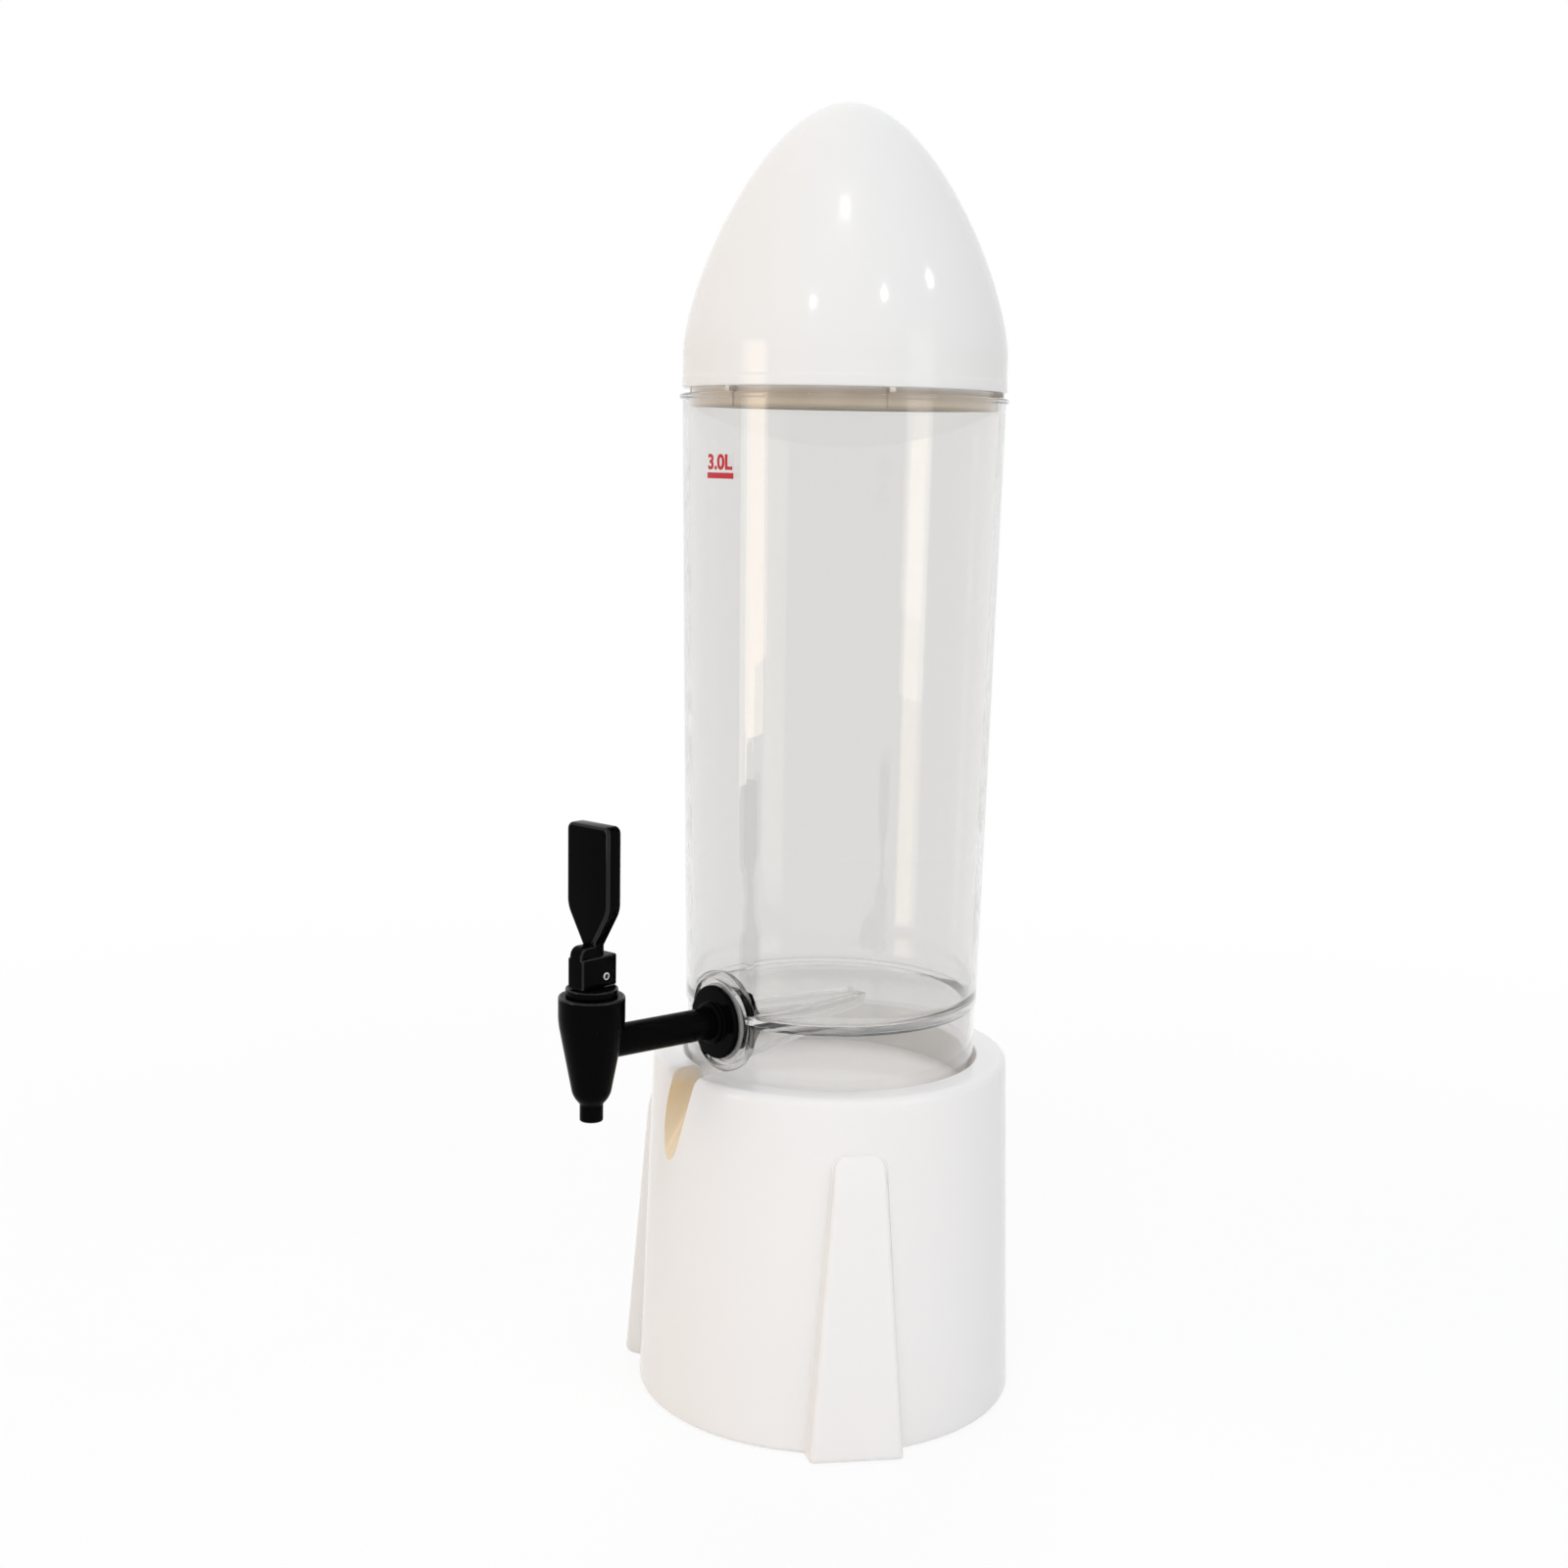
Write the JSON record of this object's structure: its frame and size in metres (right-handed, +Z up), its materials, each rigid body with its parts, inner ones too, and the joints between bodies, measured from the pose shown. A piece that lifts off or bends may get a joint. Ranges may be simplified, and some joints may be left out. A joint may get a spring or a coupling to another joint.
{
  "type": "beer tower dispenser",
  "caption": "Tall drink dispenser: clear tapered vessel with a domed cap, standing in a finned drum base, with a lever tap low on its side.",
  "frame": {"origin": "middle of the overall box, on the table", "axes": "+Z up along the tower, -Y out through the tap, +X to the right of someone facing the tap"},
  "size_m": [0.1784, 0.2338, 0.5651],
  "materials": {
    "white_abs": "polished white moulding",
    "clear_pc": "clear polished moulding",
    "black_abs": "polished black moulding",
    "rubber": "moulded rubber",
    "silicone": "milky silicone",
    "grey_silicone": "moulded silicone",
    "steel": "bright stainless"
  },
  "bodies": {
    "base": {"base_shell": "white_abs", "foot_pad_rear": "rubber", "foot_pad_left": "rubber", "foot_pad_right": "rubber"},
    "vessel": {"vessel": "clear_pc", "tap_flange": "black_abs", "flange_gasket": "silicone", "inner_gasket": "rubber", "slip_washer": "black_abs", "lock_nut": "black_abs", "tap_body": "black_abs", "bonnet": "black_abs", "bonnet_o_ring": "rubber", "stem_o_ring": "rubber", "return_spring": "steel"},
    "cap": {"cap": "white_abs"},
    "stem": {"stem": "black_abs", "seat_cup": "grey_silicone", "spring_washer": "steel", "lever_pin": "steel"},
    "lever": {"lever": "black_abs"}
  },
  "joints": [
    {"name": "vessel_lift", "type": "slide", "parent": "base", "child": "vessel", "axis": [0, 0, 1], "range_m": [0, 0.04]},
    {"name": "cap_lift", "type": "slide", "parent": "vessel", "child": "cap", "axis": [0, 0, 1], "range_m": [0, 0.06]},
    {"name": "stem_lift", "type": "slide", "parent": "vessel", "child": "stem", "axis": [0, 0, 1], "range_m": [0, 0.00424], "stiffness_N_per_m": 700, "springref_m": -0.005, "deforming": ["return_spring"]},
    {"name": "lever_tilt", "type": "hinge", "parent": "stem", "child": "lever", "pos_m": [-0.00072, -0.09917, 0.2056], "axis": [0.9829, 0.184, 0], "range_deg": [0, 20]}
  ],
  "couplings": [
    {"joint": "lever_tilt", "follows": "stem_lift", "rad_per_m": 82.3}
  ]
}
